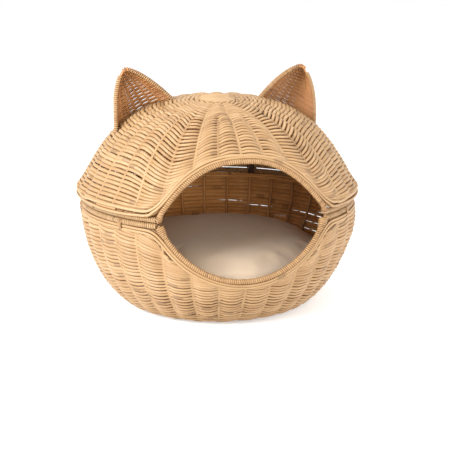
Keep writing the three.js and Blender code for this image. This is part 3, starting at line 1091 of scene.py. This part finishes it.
@dataclass
class Lid(WovenShell):
    """The upper half: from the crown down to the hoop and the arched doorway."""

    radius: float = 228.5 * MM
    flatness: float = 0.43
    power: float = 4.5
    shoulder: float = 15 * MM
    split_radius: float = 96 * MM
    crown_radius: float = 29 * MM
    drift: tuple[float, float] = (-8 * MM, -40 * MM)

    def place(self, angle: Array, s: Array, offset: Array | float = 0.0) -> Array:
        """Points on the dome, with the weave's centre moved forward.

        The flat position is r(s) round the centre, plus drift * (1 - s / (0.85 length))^2. The
        height and the normal are the dome's own at the radius that this lands on.

        Args:
            angle: Angles round the wall.
            s: How far along the profile.
            offset: How far outside the wall.

        Returns:
            The points.
        """
        angle, s = np.broadcast_arrays(angle, s)
        fade = np.clip(1 - s / (0.85 * self.profile.length), 0, 1) ** 2
        radius = self.profile.radius_at(s)
        x = radius * np.sin(angle) + self.drift[0] * fade
        y = -radius * np.cos(angle) + self.drift[1] * fade
        rising = slice(0, int(np.argmax(self.profile.radius)))
        landed = np.interp(np.hypot(x, y), self.profile.radius[rising], self.profile.s[rising])
        out = offset + self.flare(angle, s)
        return self.profile.place(np.arctan2(x, -y), np.where(fade > 0, landed, s), out)

    def flare(self, angle: Array, s: Array) -> Array:
        """A brim: the lowest rows stand 4 mm further out than the dome above them.

        Args:
            angle: Angles round the wall.
            s: How far along the profile.

        Returns:
            The offset at each place.
        """
        corner = self.layout.door_angle
        away = smoothstep(corner - 0.1, corner + 0.35, np.abs(signed(angle)))
        above = self.profile.length - s
        return 4 * MM * away * np.exp(-(((above - 15 * MM) / (13 * MM)) ** 2))

    def calm(self, s: Array) -> Array:
        """Half the swing at the crown, all of it 110 mm out."""
        return 0.45 + 0.55 * smoothstep(40 * MM, 110 * MM, s)

    def tightness(self, angle: Array, s: Array) -> Array:
        """As on the bowl, and close at the crown."""
        return np.maximum(super().tightness(angle, s), 1 - smoothstep(60 * MM, 120 * MM, s))

    def make_profile(self) -> Profile:
        """Rise * (1 - f q^2 - (1 - f) q^power) with q = r / radius, then a tuck to the hoop.

        Returns:
            The profile.
        """
        q = np.linspace(1e-4, 1.0, 4000)
        rise = self.layout.lid_rise * (1 - self.flatness * q**2 - (1 - self.flatness) * q**self.power)
        dome = rise >= self.shoulder
        r, z = q[dome] * self.radius, rise[dome]
        down = np.linspace(1.0, 0.0, 60)[1:]
        tucked = r[-1] - (r[-1] - self.layout.hoop_radius) * (1 - down) ** 2
        r = np.concatenate([r, tucked])
        z = np.concatenate([z, down * self.shoulder])
        return Profile(r, self.layout.seam + z, -1.0)

    def door_edge(self, share: Array) -> Array:
        """Rise above the seam: door_top * (1 - share^2.6)^0.8."""
        return self.layout.door_top * (1 - share**2.6) ** 0.8

    def level(self, share: float, angle: Array) -> Array:
        """Rows evenly spaced from the crown, with a dip on each side of the doorway's arch.

        The two dips are bell curves that stand further apart the lower the row is.

        Args:
            share: The row's place, 0 at the start of the profile to 1 at its end.
            angle: Angles round the wall.

        Returns:
            How far along the profile, one value for each angle.
        """
        start = self.crown_radius + 1.5 * MM
        even = start + share * (self.profile.length - start)
        dip = 30 * MM * math.sin(math.pi * min(share * 1.02, 1.0)) ** 1.1
        lift = 0.045 * (even - start) * np.exp(-((signed(angle) / math.radians(14)) ** 2))
        return even + dip * flank(angle, 25 + 12 * share, 13) - lift

    def behind(self, angle: Array, s: Array) -> Array:
        """As on the bowl, changing near the crown to half as many waves, where stakes run together.

        Args:
            angle: Angles round the wall.
            s: How far along the profile.

        Returns:
            0 to 1 at each place.
        """
        half = ((1 + np.cos(self.waves / 2 * angle)) / 2) ** 1.4
        share = smoothstep(self.split_radius - 15 * MM, self.split_radius + 15 * MM, s)
        return half + (super().behind(angle, s) - half) * share

    def stakes(self, bundle: Bundle) -> None:
        """Adds the stakes. Near the crown every second exposed one goes behind, and hidden ones end.

        Args:
            bundle: Where the strands go.
        """
        limit = self.edge_line(1.5 * MM, 0.0)
        split = float(np.interp(self.split_radius, self.profile.radius, self.profile.s))
        for index in range(2 * self.waves):
            angle = TURN * index / (2 * self.waves)
            high = float(self.at(limit, np.array([angle]))[0])
            exposed = index % 2 == 0
            low = self.crown_radius - 4 * MM if exposed else split - 15 * MM

            def lean(s: Array, exposed: bool = exposed, index: int = index) -> Array:
                """Outside or inside the rows, by which the stake is and how far from the crown.

                Args:
                    s: How far along the profile.
                    exposed: Whether the stake shows outside.
                    index: The stake's number.

                Returns:
                    The offset from the wall.
                """
                outer, inner = self.lean
                if index % 4 == 0:
                    return outer + 0 * s
                if not exposed:
                    return inner + 0 * s
                return inner + (outer - inner) * smoothstep(split - 25 * MM, split + 25 * MM, s)

            self.stake_line(bundle, angle, low, high, lean)

    def crown(self) -> Bundle:
        """The crossed stakes at the crown, with two close rings of cane round them.

        Returns:
            The crown, as a bundle.
        """
        bundle = Bundle("lid_crown_canes")
        crossed(bundle, self.crown_radius, self.on_dome, -DOWN, self.rng)
        angle = ring_angles(160)
        cane = 2.2 * MM
        for radius in (self.crown_radius - 2 * MM, self.crown_radius + 1.5 * MM):
            s = np.full(len(angle), radius)
            path = self.place(angle, s, cane * np.cos(self.waves / 2 * angle))
            tint = band_tints(self.rng, len(angle), 3)
            bundle.strand(path, self.normal(angle, s), cane, closed=True, tint=tint)
        return bundle

    def on_dome(self, x: Array, y: Array, offset: float) -> Array:
        """Points on the dome at flat places round the crown's centre."""
        return self.place(np.arctan2(x, -y), np.hypot(x, y), offset)

    def build(self) -> None:
        """Builds the lid's pieces, with its rows in two lots to keep each mesh small."""
        half = self.row_count // 2 + 1
        for name, numbers, nodes in (
            ("rows_upper", range(half), ("lid_wall",)),
            ("rows_lower", range(half, self.row_count), ()),
        ):
            weave = functools.partial(self.rows, numbers=numbers)
            self.piece(name, weave, Finishes.WEAVER, "woven_cane", *nodes)
        self.edge_pieces()
        self.crown().build(Finishes.ROD.value, "lid", "cane_rod", ("lid_crown",))


def crossed(
    bundle: Bundle,
    reach: float,
    surface: Callable[[Array, Array, float], Array],
    outward: Array,
    rng: np.random.Generator,
) -> None:
    """Adds two layers of side-by-side rods, one across the other, cut to a disc.

    Args:
        bundle: Where the rods go.
        reach: The disc's radius.
        surface: Points at flat places, moved off the middle between the layers.
        outward: The direction that faces out of the basket.
        rng: For the tints.
    """
    rod = 2.15 * MM
    half = int(reach * 0.93 / (2 * rod))
    for layer, lift in ((0, rod), (1, -rod)):
        for index in range(-half, half + 1):
            across = index * 2.03 * rod
            span = math.sqrt(max(reach**2 - across**2, (8 * MM) ** 2))
            t = np.linspace(-span, span, 22)
            x, y = (t, across + 0 * t) if layer == 0 else (across + 0 * t, t)
            bundle.strand(surface(x, y, lift), outward, rod, tint=rng.beta(2, 4))


# ---------------------------------------------------------------- bindings and lashings


@dataclass(frozen=True)
class Loop:
    """A winding's oval section and its turns: half its depth and height, turns, and step per turn."""

    depth: float
    height: float
    turns: float
    pitch: float


@dataclass
class Windings:
    """Short windings of split cane round the hoops: the bindings and the hinge lashings."""

    layout: Layout
    rng: np.random.Generator
    cane: float = 0.62 * MM
    binding: Loop = Loop(6.0 * MM, 7.6 * MM, 2.5, 2.5 * MM)
    binding_rise: float = 3.6 * MM
    lashing_turns: Loop = Loop(5.1 * MM, 10.6 * MM, 5.5, 2.5 * MM)
    tying_turns: Loop = Loop(6.3 * MM, 11.6 * MM, 2.0, -5.2 * MM)

    def ring(self, bundle: Bundle, node: str, centre: float, loop: Loop) -> None:
        """Adds a winding where a node stands: an oval that steps sideways with every turn.

        Args:
            bundle: Where the strand goes.
            node: The CAD node that gives the angle.
            centre: The oval's height.
            loop: The winding's size and turns.
        """
        low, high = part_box(node)
        angle = math.atan2(low[0] + high[0], -(low[1] + high[1]))
        t = np.linspace(0, loop.turns * TURN, int(loop.turns * 26))
        around = angle + (t / TURN - loop.turns / 2) * loop.pitch / self.layout.hoop_radius
        squareness = 0.75
        c = np.sign(np.cos(t)) * np.abs(np.cos(t)) ** squareness
        s = np.sign(np.sin(t)) * np.abs(np.sin(t)) ** squareness
        path = round_z(around, self.layout.hoop_radius + loop.depth * c, centre + loop.height * s)
        flat = loop.pitch / 2 / self.cane * 0.96
        bundle.strand(path, round_z(around, c, s), self.cane, flat=flat, tint=self.rng.beta(2, 2))

    def bindings(self, body: str, count: int, sign: int) -> None:
        """Builds the bindings of one hoop, each round the hoop and the canes beside it.

        Args:
            body: The body that the hoop is on.
            count: How many there are.
            sign: -1 below the seam, 1 above it.
        """
        bundle = Bundle(f"{body}_hoop_bindings")
        centre = self.layout.seam + sign * (self.layout.hoop_offset + self.binding_rise)
        nodes = tuple(f"{body}_binding_{index + 1}" for index in range(count))
        for node in nodes:
            self.ring(bundle, node, centre, self.binding)
        bundle.build(Finishes.SPLIT.value, body, "split_cane", nodes)

    def lashing(self, side: str) -> None:
        """Builds one hinge lashing: soft cane round both hoops, crossed by tying turns.

        It stretches from the bowl to the lid across the seam.

        Args:
            side: "left" or "right".
        """
        node = f"hinge_lashing_{side}"
        bundle = Bundle(f"lashing_{side}")
        seam = self.layout.seam
        self.ring(bundle, node, seam, self.lashing_turns)
        self.ring(bundle, node, seam, self.tying_turns)
        lashing = bundle.build(Finishes.LASHING.value, "", "lashing_cane", (node,))
        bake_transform(lashing)

    def build(self) -> None:
        """Builds the bindings and the lashings."""
        self.bindings("bowl", 8, -1)
        self.bindings("lid", 7, 1)
        for side in ("left", "right"):
            self.lashing(side)


# ---------------------------------------------------------------- ears


@dataclass
class Ear:
    """One ear: an edge rod bent over a tip, and rows that turn round it, dished backwards."""

    name: str
    lid: Lid
    side: int
    seed: int
    spread: float
    rod: float = 1.5 * MM
    weaver: float = 1.48 * MM
    hook: float = 1.58 * MM
    row_count: int = 30
    row_share: float = 0.962
    depth: float = 34 * MM
    wave: float = 2.1 * MM
    narrow: float = 30 * MM
    outline: tuple[tuple[float, float], ...] = (
        (163, 103), (162.5, 140), (158, 170), (149, 193), (140, 204.5),
        (127, 201), (106, 188.5), (86, 171), (70, 154),
    )
    tip_share: float = 0.49

    def __post_init__(self) -> None:
        """Makes the outline curve's table, in x and height over the seam, leaning out by spread."""
        self.rng = np.random.default_rng(self.seed)
        points = np.array(self.outline) * MM
        lift = smoothstep(points[:, 1].min(), points[:, 1].max(), points[:, 1])
        points[:, 0] += self.spread * lift**2
        steps = distances(points)
        q = np.linspace(0, steps[-1], 400)
        self.curve = np.stack([catmull(q, steps, points[:, k]) for k in range(2)], -1)
        self.q = q / steps[-1]

    def edge(self, q: Array) -> Array:
        """Points on the outline, q from 0 at the outer base to 1 at the inner base.

        Args:
            q: Places along the outline, 0 to 1.

        Returns:
            The points.
        """
        x = np.interp(q, self.q, self.curve[:, 0])
        z = np.interp(q, self.q, self.curve[:, 1]) + self.lid.layout.seam
        return np.stack([self.side * x, 0 * x, z], -1)

    def clear_of_lid(self, points: Array, depth: float) -> Array:
        """True where points are outside the lid's middle surface raised by depth.

        Args:
            points: Points in space.
            depth: How much the dome is raised first.

        Returns:
            One truth value for each point.
        """
        profile = self.lid.profile
        r = np.hypot(points[:, 0], points[:, 1])
        order = slice(0, len(profile.radius) - 60)
        dome = np.interp(r, profile.radius[order], profile.height[order], right=0.0)
        return points[:, 2] > dome + depth

    def panel(self, u: Array | float, v: Array | float, wave: Array | float = 0.0) -> Array:
        """Points on the dished panel, u from the outer to the inner edge and v from base to tip.

        The dish is depth * (sin pi u)^0.8 * (1 - 0.62 v), less where the ear is narrow.

        Args:
            u: Shares of the way from the outer edge to the inner.
            v: Shares of the way from the base to the tip.
            wave: A further move backwards.

        Returns:
            The points.
        """
        u, v = np.broadcast_arrays(u, v)
        outer, inner = self.edge(self.tip_share * v), self.edge(1 - (1 - self.tip_share) * v)
        width = np.linalg.norm(inner - outer, axis=-1)
        fade = (1 - 0.62 * v) * np.minimum(1.0, width / self.narrow)
        dish = self.depth * np.sin(math.pi * u) ** 0.8 * fade
        points = outer + (inner - outer) * u[:, None]
        points[:, 1] += self.rod + self.hook + dish + wave
        return points

    def row(self, bundle: Bundle, v: float, flip: int) -> None:
        """Adds one row: from the front of one edge, round it, through the dish and round the other.

        Args:
            bundle: Where the strands go.
            v: The row's share of the way from the base to the tip.
            flip: 1 or -1, which stakes it passes in front of.
        """
        q_out, q_in = self.tip_share * v, 1 - (1 - self.tip_share) * v
        ends = self.edge(np.array([q_out, q_in]))
        ahead = self.edge(np.array([q_out + 1e-3, q_in - 1e-3]))
        reach = self.rod + self.hook
        u = np.linspace(0, 1, 44)
        wave = self.wave * flip * np.sin(math.pi * u * 7) * np.sin(math.pi * u)
        panel = self.panel(u, v, wave)
        hooks = []
        middle = (ends[0] + ends[1]) / 2
        for end, forward in zip(ends, ahead):
            tangent = unit(forward - end)
            out = unit((end - middle) - np.dot(end - middle, tangent) * tangent)
            theta = np.radians(np.linspace(-118, 78, 11))[:, None]
            hooks.append(end + reach * (np.cos(theta) * out + np.sin(theta) * BACK))
        path = np.concatenate([hooks[0], panel[1:-1], hooks[1][::-1]])
        tangent = unit(np.gradient(path, axis=0))
        hint = self.side * np.cross(tangent, unit(ahead[0] - ends[0]))
        keep = self.clear_of_lid(path, 2.0 * MM)
        tint = self.rng.beta(1.3, 1.2)
        thick = np.full(len(hooks[0]), self.hook)
        thin = self.weaver + (self.hook - self.weaver) * np.abs(2 * u[1:-1] - 1) ** 4
        radius = np.concatenate([thick, thin, thick])
        for span in spans(keep):
            bundle.strand(path[span], hint[span], radius[span], tint=tint, start=self.rng.uniform(0, 2))

    def build(self) -> None:
        """Builds the panel's rows and upright stakes, and the edge rod over the tip and back."""
        weave = Bundle(f"{self.name}_weave")
        for number in range(self.row_count):
            self.row(weave, self.row_share * (number + 0.5) / self.row_count, 1 if number % 2 else -1)
        for u in np.linspace(0, 1, 8)[1:-1]:
            path = self.panel(u, np.linspace(0.0, 0.9, 40))
            keep = self.clear_of_lid(path, 1.0 * MM)
            weave.strand(path[keep], BACK, 1.7 * MM, tint=0.6)
        weave.build(Finishes.EAR.value, "lid", "woven_cane", (f"{self.name}_panel",))
        rod = Bundle(f"{self.name}_rod")
        path = self.edge(np.linspace(0, 1, 120))
        keep = self.clear_of_lid(path, 0.0)
        rod.strand(path[keep], BACK, self.rod, sides=8, tint=0.35)
        rod.build(Finishes.EAR.value, "lid", "cane_rod", (f"{self.name}_edge",))


def catmull(at: Array, knots: Array, values: Array) -> Array:
    """A smooth curve through values at knots: cubic pieces whose slopes are central differences.

    Args:
        at: Where the curve is wanted.
        knots: Where its values are given.
        values: The values there.

    Returns:
        The curve's values.
    """
    slopes = np.gradient(values, knots)
    index = np.clip(np.searchsorted(knots, at) - 1, 0, len(knots) - 2)
    width = knots[index + 1] - knots[index]
    t = (at - knots[index]) / width
    t2, t3 = t * t, t * t * t
    rise = (2 * t3 - 3 * t2 + 1) * values[index] + (3 * t2 - 2 * t3) * values[index + 1]
    return rise + width * ((t3 - 2 * t2 + t) * slopes[index] + (t3 - t2) * slopes[index + 1])


# ---------------------------------------------------------------- cushion


@dataclass
class Cushion:
    """The loose cushion: a crowned round pad whose lower side tapers with the bowl."""

    low: Array
    high: Array
    cap: float = 5 * MM
    slack: float = 3.5 * MM
    seam_share: float = 0.68
    section: tuple[tuple[float, float], ...] = (
        (0, 1.0), (40, 0.99), (80, 0.975), (118, 0.95), (150, 0.905), (170, 0.84), (181, 0.76), (184, 0.67),
        (181, 0.54), (171, 0.37), (156, 0.2), (138, 0.075), (118, 0.03), (80, 0.03), (40, 0.03), (0, 0.03),
    )

    def outline(self) -> tuple[Array, Array]:
        """Radius and height round the pad's section, from the top's middle to the bottom's.

        Returns:
            The radii and the heights.
        """
        reach = self.high[0] - self.slack
        bottom, top = self.low[2], self.high[2]
        section = np.array(self.section)
        side_r = section[:, 0] / section[:, 0].max() * reach
        side_z = bottom + (top - bottom) * section[:, 1]
        knots = np.arange(len(section), dtype=float)
        at = np.linspace(0, knots[-1], 76)
        return np.maximum(catmull(at, knots, side_r), 0.0), catmull(at, knots, side_z)

    def body(self) -> bpy.types.Object:
        """Makes the pad's mesh, fills it by cloth simulation, and smooths it.

        Its radius ripples by 1 + 0.006 sin(5a + 0.8) + 0.004 sin(11a), and its top has shallow
        dents of 2 mm * sin(21x + 0.6) * cos(17y - 0.4).

        Returns:
            The pad.
        """
        r, z = self.outline()
        turns = 120
        angle = ring_angles(turns)
        ripple = 1 + 0.006 * np.sin(5 * angle + 0.8) + 0.004 * np.sin(11 * angle)
        grid_r = r[1:-1, None] * ripple[None, :]
        x, y = grid_r * np.sin(angle), -grid_r * np.cos(angle)
        dent = 2.0 * MM * np.sin(x * 21 + 0.6) * np.cos(y * 17 - 0.4)
        grid_z = z[1:-1, None] + dent * smoothstep(60 * MM, 85 * MM, z[1:-1, None])
        verts = np.stack([x, y, grid_z + 0 * x], -1).reshape(-1, 3)
        rings = len(r) - 2
        index = np.arange(rings * turns).reshape(rings, turns)
        around = np.roll(index, -1, 1)
        quads = np.stack([index[:-1], index[1:], around[1:], around[:-1]], -1).reshape(-1, 4).tolist()
        top, bottom = len(verts), len(verts) + 1
        verts = np.concatenate([verts, [[0, 0, z[0]], [0, 0, z[-1]]]])
        fans = [[top, int(a), int(b)] for a, b in zip(index[0], around[0])]
        fans += [[bottom, int(b), int(a)] for a, b in zip(index[-1], around[-1])]
        mesh = bpy.data.meshes.new("cushion_pad")
        mesh.from_pydata(verts.tolist(), [], quads + fans)
        obj = bpy.data.objects.new("cushion_pad", mesh)
        bpy.context.collection.objects.link(obj)
        self.inflate(obj)
        obj.data.polygons.foreach_set("use_smooth", np.ones(len(obj.data.polygons), bool))
        soften = obj.modifiers.new("Soften", "SUBSURF")
        soften.levels = soften.render_levels = 1
        return obj

    def inflate(self, obj: bpy.types.Object) -> None:
        """Fills the pad with pressure for twenty frames, and caps how far any point may go.

        Args:
            obj: The pad.
        """
        remesh = obj.modifiers.new("Remesh", "REMESH")
        remesh.mode, remesh.voxel_size = "VOXEL", 6 * MM
        obj.data = applied(obj)
        obj.modifiers.clear()
        start = coordinates(obj.data)
        cloth = obj.modifiers.new("Cloth", "CLOTH")
        cloth.settings.quality = 5
        cloth.settings.use_pressure = True
        cloth.settings.uniform_pressure_force = 4.0
        cloth.settings.effector_weights.gravity = 0.0
        scene = bpy.context.scene
        for frame in range(1, 21):
            scene.frame_set(frame)
        moved = coordinates(applied(obj)) - start
        obj.modifiers.clear()
        scene.frame_set(1)
        size = np.linalg.norm(moved, axis=1, keepdims=True)
        end = start + moved * np.minimum(1.0, self.cap / np.maximum(size, 1e-9))
        end[:, 2] = np.clip(end[:, 2], self.low[2] + 0.3 * MM, self.high[2] + 3 * MM)
        obj.data.vertices.foreach_set("co", end.ravel())
        obj.data.update()
        log.info("cushion_pad: filled, furthest point moved %.1f mm", 1000 * float(size.max()))

    def seam(self, pad: bpy.types.Object) -> Bundle:
        """The corded seam round the pad's widest line, laid on the pad's own points.

        Args:
            pad: The pad, before its subdivision.

        Returns:
            The cord, as a bundle.
        """
        bundle = Bundle("cushion_seam_cord")
        z = self.low[2] + self.seam_share * (self.high[2] - self.low[2])
        points = coordinates(pad.data)
        points = points[np.abs(points[:, 2] - z) < 5 * MM]
        sectors = 48
        around = np.arctan2(points[:, 0], -points[:, 1]) % TURN
        sector = (around / TURN * sectors).astype(int)
        radius = np.hypot(points[:, 0], points[:, 1])
        reach = np.array([radius[sector == k].max() for k in range(sectors)])
        angle = ring_angles(240)
        reach = np.interp(angle, ring_angles(sectors) + TURN / sectors / 2, reach, period=TURN)
        bundle.strand(round_z(angle, reach, z), round_z(angle, 1.0, 0.0), 1.6 * MM, sides=8, closed=True)
        return bundle

    def zip(self) -> Bundle:
        """The zip: a tape along the back with two rows of small teeth.

        Returns:
            The zip, as a bundle.
        """
        bundle = Bundle("cushion_zip_tape")
        low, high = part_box("cushion_zip")
        z = (low[2] + high[2]) / 2
        half = math.asin(high[0] / self.high[0])
        angle = np.linspace(math.pi - half, math.pi + half, 60)
        reach = self.high[0] + 0.2 * MM
        bundle.strand(round_z(angle, reach, z), round_z(angle, 1.0, 0.0), 0.8 * MM, flat=4.6, sides=8)
        for turn in np.linspace(angle[0], angle[-1], 64):
            heights = z + np.array([-1.2, 0.0, 1.2]) * MM
            tooth = round_z(np.full(3, turn), reach + 0.9 * MM, heights)
            bundle.strand(tooth, round_z(np.full(3, turn), 1.0, 0.0), 0.55 * MM, sides=4)
        return bundle

    def build(self) -> None:
        """Builds the pad, its corded seam and its zip."""
        pad = self.body()
        pad.data.materials.clear()
        pad.data.materials.append(Finishes.CUSHION.value.material())
        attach(pad, "cushion")
        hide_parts("cushion_cover", "cushion_filling")
        self.seam(pad).build(Finishes.CUSHION.value, "cushion", "cushion_fabric")
        self.zip().build(Finishes.ZIP.value, "cushion", "zip_tape", ("cushion_zip",))


def applied(obj: bpy.types.Object) -> bpy.types.Mesh:
    """The object's mesh with its modifiers applied."""
    graph = bpy.context.evaluated_depsgraph_get()
    return bpy.data.meshes.new_from_object(obj.evaluated_get(graph))


def coordinates(mesh: bpy.types.Mesh) -> Array:
    """The mesh's vertex places, (n, 3).

    Args:
        mesh: A mesh.

    Returns:
        The places, one row for each vertex.
    """
    out = np.empty(3 * len(mesh.vertices))
    mesh.vertices.foreach_get("co", out)
    return out.reshape(-1, 3)


# ---------------------------------------------------------------- studio


@dataclass(frozen=True)
class Studio:
    """A pale floor, soft light and the camera."""

    layout: Layout
    distance: float = 1.6
    elevation: float = 0.223
    turn: float = 0.21
    lens: float = 77.8
    shift: tuple[float, float] = (0.0175, -0.0718)
    aim: float = 0.18

    def camera(self) -> None:
        """Places the camera in front, a little above, and to the left of the doorway's middle."""
        data = bpy.data.cameras.new("camera")
        data.lens, data.sensor_width = self.lens, 36.0
        data.shift_x, data.shift_y = self.shift
        obj = bpy.data.objects.new("camera", data)
        bpy.context.collection.objects.link(obj)
        flat = math.cos(self.elevation)
        back = Vector((-math.sin(self.turn) * flat, -math.cos(self.turn) * flat, math.sin(self.elevation)))
        obj.location = Vector((0, 0, self.layout.seam)) + self.distance * back
        obj.rotation_euler = back.to_track_quat("Z", "Y").to_euler()
        bpy.context.scene.camera = obj

    def floor(self) -> None:
        """Lays a plain pale floor."""
        mesh = bpy.data.meshes.new("floor")
        half = 6.0
        corners = [(-half, -half, 0), (half, -half, 0), (half, half, 0), (-half, half, 0)]
        mesh.from_pydata(corners, [], [(0, 1, 2, 3)])
        obj = bpy.data.objects.new("floor", mesh)
        bpy.context.collection.objects.link(obj)
        nodes = Nodes("pale_floor")
        white = rgba((0.78, 0.78, 0.78))
        look = {"base_color": white, "roughness": 0.9, "emission_color": white, "emission_strength": 0.45}
        mesh.materials.append(nodes.surface(**look))

    def light(
        self, name: str, place: tuple[float, float, float], size: float, watts: float, tone: Colour = WHITE
    ) -> None:
        """Adds a soft square light that faces the basket.

        Args:
            name: The light's name.
            place: Where it stands.
            size: Its side.
            watts: Its power.
            tone: Its colour.
        """
        data = bpy.data.lights.new(name, "AREA")
        data.size, data.energy, data.color = size, watts, tone
        obj = bpy.data.objects.new(name, data)
        bpy.context.collection.objects.link(obj)
        obj.location = place
        away = Vector(place) - Vector((0, 0, self.aim))
        obj.rotation_euler = away.to_track_quat("Z", "Y").to_euler()

    def build(self) -> None:
        """Sets the whole studio up."""
        self.camera()
        self.floor()
        world = bpy.data.worlds.new("studio")
        world.use_nodes = True
        background = world.node_tree.nodes["Background"]
        background.inputs[0].default_value = rgba(WHITE)
        background.inputs[1].default_value = 1.0
        bpy.context.scene.world = world
        self.light("key", (-1.9, -0.9, 1.3), 1.2, 86)
        self.light("front", (0.2, -2.3, 0.5), 0.9, 14, (1.0, 0.84, 0.62))
        self.light("fill", (1.7, -0.9, 0.9), 1.4, 22)
        self.light("top", (0.1, 0.3, 2.2), 1.4, 18)
        bpy.context.scene.view_settings.view_transform = "Standard"


# ---------------------------------------------------------------- assembly


def main() -> None:
    """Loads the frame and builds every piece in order."""
    logging.basicConfig(level=logging.INFO, format="%(name)s: %(message)s")
    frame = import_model()
    layout = Layout.from_frame(frame)
    Studio(layout).build()
    Bowl(layout, "bowl", -1, seed=11, row_count=34).build()
    lid = Lid(layout, "lid", 1, seed=23, row_count=40)
    lid.build()
    Ear("ear_left", lid, -1, seed=5, spread=7 * MM).build()
    Ear("ear_right", lid, 1, seed=6, spread=0.0).build()
    Windings(layout, np.random.default_rng(31)).build()
    Cushion(*map(np.array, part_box("cushion_cover"))).build()


if __name__ == "__main__":
    main()
